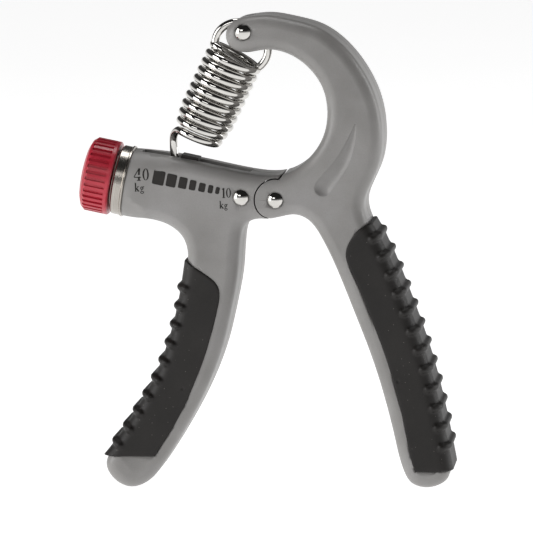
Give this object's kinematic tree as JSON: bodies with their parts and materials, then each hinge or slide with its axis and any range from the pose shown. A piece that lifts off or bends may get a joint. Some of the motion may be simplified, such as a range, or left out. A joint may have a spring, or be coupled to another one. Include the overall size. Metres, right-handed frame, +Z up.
{
  "type": "hand grip strengthener",
  "caption": "Adjustable hand grip strengthener: two hinged handles with rubber grips, a ring-shaped hook end, a pull spring, and a screw knob that sets the resistance.",
  "frame": {"origin": "on the floor under the object, midway between its two sides and on the parting plane of the shells", "axes": "+Z up with the object standing on the ends of its handles, +Y from the printed front to the back along the hinge axis, +X from the adjuster handle to the hook handle"},
  "size_m": [0.1038, 0.0224, 0.1319],
  "materials": {
    "grey_shell": "satin moulded grey plastic",
    "black_rubber": "matt moulded thermoplastic rubber",
    "red_plastic": "semi-gloss moulded red plastic",
    "brushed_ferrule": "turned steel",
    "white_plastic": "natural nylon",
    "bronze": "sintered bronze",
    "zinc_steel": "zinc-plated steel",
    "chrome": "bright nickel-chrome plating",
    "dark_plastic": "dark moulded acetal"
  },
  "bodies": {
    "adjuster_handle": {"adjuster_shell_front": "grey_shell", "adjuster_shell_back": "grey_shell", "adjuster_grip": "black_rubber", "hinge_plate": "zinc_steel", "pivot_bush": "bronze", "body_rivet": "chrome", "end_collar": "brushed_ferrule", "thrust_washer": "white_plastic", "screw_tail_bush": "bronze", "adjuster_screw": "zinc_steel"},
    "knob": {"adjust_knob": "red_plastic", "knob_cap": "red_plastic", "knob_screw": "zinc_steel", "lead_screw": "zinc_steel", "retaining_clip": "zinc_steel"},
    "carriage": {"carriage_nut": "dark_plastic", "anchor_pin": "zinc_steel"},
    "hook_handle": {"hook_shell_front": "grey_shell", "hook_shell_back": "grey_shell", "hook_grip": "black_rubber", "pivot_rivet": "chrome", "tip_rivet": "chrome", "pivot_washers": "white_plastic", "hook_screws": "zinc_steel"},
    "spring": {"spring_coil": "chrome"},
    "spring_hook": {"spring_foot": "chrome"}
  },
  "joints": [
    {"name": "grip_close", "type": "hinge", "parent": "adjuster_handle", "child": "hook_handle", "pos_m": [0.00407, 0, 0.08102], "axis": [0, 1, 0], "range_deg": [0, 40], "stiffness_Nm_per_rad": 8, "springref_deg": -11.46},
    {"name": "knob_turn", "type": "hinge", "parent": "adjuster_handle", "child": "knob", "pos_m": [-0.03793, 0, 0.08547], "axis": [0.9763, 0, -0.2164], "range_deg": [-1080, 1080]},
    {"name": "carriage_slide", "type": "slide", "parent": "adjuster_handle", "child": "carriage", "axis": [0.9763, 0, -0.2164], "range_m": [-0.0061, 0.0061]},
    {"name": "spring_swing", "type": "hinge", "parent": "hook_handle", "child": "spring", "pos_m": [-0.00373, 0, 0.12742], "axis": [0, 1, 0], "range_deg": [-8.2, 8.2]},
    {"name": "spring_stretch", "type": "slide", "parent": "spring", "child": "spring_hook", "axis": [0.0251, 0, -0.9997], "range_m": [0, 0.0192], "deforming": ["spring_coil", "spring_foot"]}
  ],
  "couplings": [
    {"joint": "carriage_slide", "follows": "knob_turn", "m_per_rad": 0.00031831},
    {"joint": "spring_swing", "follows": "knob_turn", "ratio": -0.00737},
    {"joint": "spring_stretch", "follows": "grip_close", "m_per_rad": 0.0274}
  ]
}
